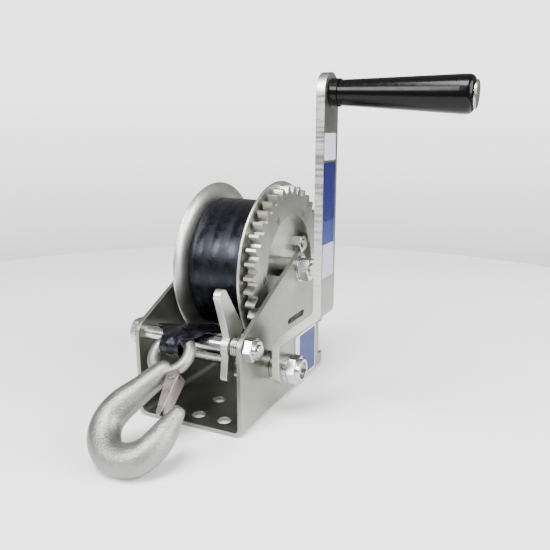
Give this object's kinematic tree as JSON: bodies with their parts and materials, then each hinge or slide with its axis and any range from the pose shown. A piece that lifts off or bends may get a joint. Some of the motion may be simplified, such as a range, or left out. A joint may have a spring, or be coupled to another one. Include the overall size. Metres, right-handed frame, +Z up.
{
  "type": "hand winch",
  "caption": "Hand winch with a crank, a geared drum of wound strap, a thumb pawl and a latched hook on the strap's end, on a drilled sheet-metal base.",
  "frame": {"origin": "middle of the base plate's length and width, on its underside", "axes": "+X along the drum towards the crank, +Y back, away from the hook, +Z up"},
  "size_m": [0.2232, 0.2421, 0.2366],
  "materials": {
    "zinc_plate": "zinc-plated rolled sheet",
    "bright_zinc": "bright zinc-plated fastener",
    "gear_steel": "zinc-plated stamped gear steel",
    "turned_steel": "turned and zinc-plated steel",
    "forged_steel": "forged, blasted and galvanised steel",
    "latch_steel": "folded sheet steel",
    "spring_steel": "drawn spring wire",
    "webbing": "black woven polyester webbing",
    "grip_plastic": "black moulded plastic"
  },
  "bodies": {
    "frame": {"frame": "zinc_plate", "tie_bolt": "bright_zinc", "tie_nut": "bright_zinc", "tie_spacer": "zinc_plate", "axle_bolt": "bright_zinc", "axle_nut": "bright_zinc", "axle_washers": "bright_zinc", "shaft_bush_right": "turned_steel", "shaft_bush_left": "turned_steel", "pawl_spring": "spring_steel", "strap_tail": "webbing"},
    "drum": {"drum_core": "zinc_plate", "drum_flange_left": "zinc_plate", "drum_flange_right": "zinc_plate", "drum_gear": "gear_steel", "gear_rivets": "bright_zinc", "drum_bush_left": "turned_steel", "drum_bush_right": "turned_steel", "strap_anchor_bolt": "bright_zinc", "strap_anchor_nut": "bright_zinc", "strap_roll": "webbing", "strap_wrap": "webbing"},
    "crank": {"pinion_shaft": "turned_steel", "pinion": "gear_steel", "shaft_ring": "bright_zinc", "crank_arm": "zinc_plate", "crank_washer": "bright_zinc", "crank_nut": "bright_zinc", "grip_bolt": "bright_zinc"},
    "grip": {"grip": "grip_plastic"},
    "pawl": {"pawl": "zinc_plate"},
    "hook": {"hook": "forged_steel", "latch_pin": "forged_steel"},
    "latch": {"hook_latch": "latch_steel", "latch_spring": "spring_steel"}
  },
  "joints": [
    {"name": "drum_turn", "type": "hinge", "parent": "frame", "child": "drum", "pos_m": [0, 0.0235, 0.098], "axis": [1, 0, 0], "continuous": true},
    {"name": "crank_turn", "type": "hinge", "parent": "frame", "child": "crank", "pos_m": [0, -0.03147, 0.03905], "axis": [1, 0, 0], "continuous": true},
    {"name": "grip_spin", "type": "hinge", "parent": "crank", "child": "grip", "pos_m": [0.0863, -0.03147, 0.22465], "axis": [0.9994, 0, -0.0349], "continuous": true},
    {"name": "pawl_swing", "type": "hinge", "parent": "frame", "child": "pawl", "pos_m": [0.0295, -0.063, 0.0615], "axis": [1, 0, 0], "range_deg": [0, 25], "stiffness_Nm_per_rad": 0.06, "springref_deg": -22.92},
    {"name": "hook_swing", "type": "hinge", "parent": "frame", "child": "hook", "pos_m": [-0.002, -0.0762, 0.0663], "axis": [-1, 0, 0], "range_deg": [0, 50]},
    {"name": "latch_swing", "type": "hinge", "parent": "hook", "child": "latch", "pos_m": [0.0092, -0.09869, 0.0472], "axis": [0, 0.6473, -0.7622], "range_deg": [0, 35], "stiffness_Nm_per_rad": 0.01, "springref_deg": -34.38}
  ],
  "couplings": [
    {"joint": "crank_turn", "follows": "drum_turn", "ratio": -3}
  ]
}
